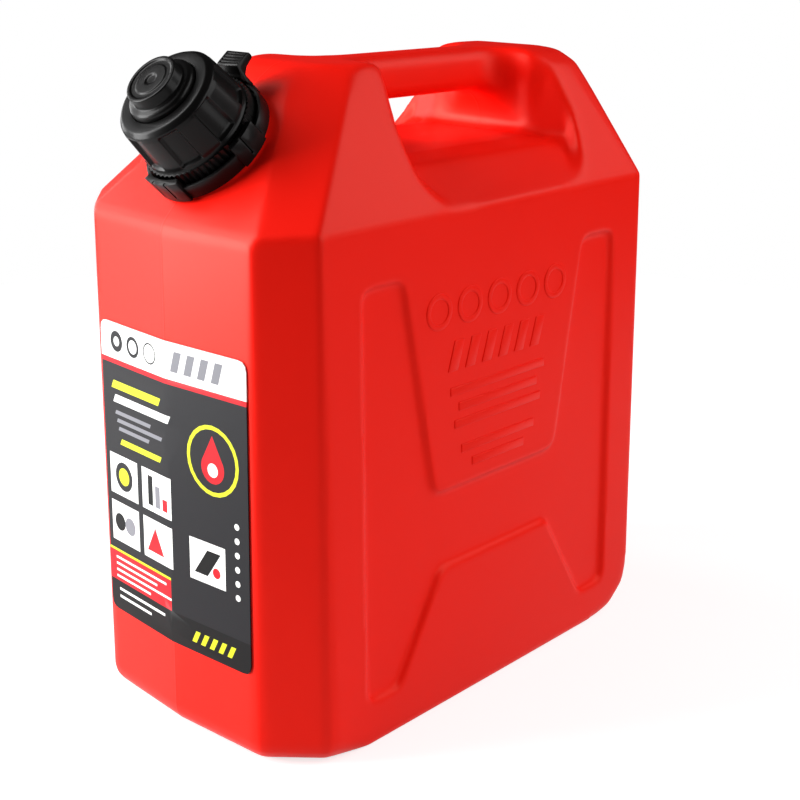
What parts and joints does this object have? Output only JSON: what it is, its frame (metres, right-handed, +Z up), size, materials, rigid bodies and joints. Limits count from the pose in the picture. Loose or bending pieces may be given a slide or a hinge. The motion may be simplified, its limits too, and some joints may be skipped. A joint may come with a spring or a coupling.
{
  "type": "fuel tank",
  "caption": "Portable blow-moulded fuel tank with hand grip through its top, tilted neck with latched screw closure, and a spring-valve pouring spout stored inside.",
  "frame": {"origin": "on the floor, under the middle of the body's length and width, so the neck leans over towards -Y", "axes": "+Z up; -Y to the front face with the label and the neck; +X to one long side; symmetric in X but for the vent tube and the latch coil"},
  "size_m": [0.1648, 0.2921, 0.3259],
  "materials": {
    "red_plastic": "satin moulded polyethylene",
    "black_plastic": "satin moulded",
    "label_film": "printed film",
    "rubber": "fuel-proof rubber",
    "steel": "bright wire",
    "yellow_plastic": "satin moulded"
  },
  "bodies": {
    "tank": {"tank_body": "red_plastic", "front_label": "label_film", "lock_ring": "black_plastic", "latch_pin": "steel", "latch_spring": "steel", "spout_gasket": "rubber", "spout_base": "yellow_plastic", "spout_seal": "rubber", "spout_tube": "yellow_plastic", "vent_tube": "black_plastic", "nozzle_body": "yellow_plastic", "valve_stem": "steel", "valve_disc": "yellow_plastic", "valve_seal": "rubber", "nozzle_spring": "steel"},
    "latch": {"latch_lever": "black_plastic"},
    "stopper": {"stopper_plug": "black_plastic", "stopper_gasket": "rubber"},
    "collar": {"screw_collar": "black_plastic"},
    "sleeve": {"nozzle_sleeve": "red_plastic"}
  },
  "joints": [
    {"name": "latch_swing", "type": "hinge", "parent": "tank", "child": "latch", "pos_m": [0, -0.09145, 0.3072], "axis": [-1, 0, 0], "range_deg": [0, 16], "stiffness_Nm_per_rad": 0.3, "springref_deg": -11.46},
    {"name": "collar_rise", "type": "slide", "parent": "tank", "child": "stopper", "axis": [0, -0.723, 0.6909], "range_m": [0, 0.012]},
    {"name": "collar_turn", "type": "hinge", "parent": "stopper", "child": "collar", "pos_m": [0, -0.12426, 0.29762], "axis": [0, -0.723, 0.6909], "range_deg": [0, 720.1]},
    {"name": "sleeve_slide", "type": "slide", "parent": "tank", "child": "sleeve", "axis": [0, 0, 1], "range_m": [0, 0.008], "stiffness_N_per_m": 800, "springref_m": -0.004, "deforming": ["nozzle_spring"]}
  ],
  "couplings": [
    {"joint": "collar_turn", "follows": "collar_rise", "rad_per_m": 1047.2}
  ]
}
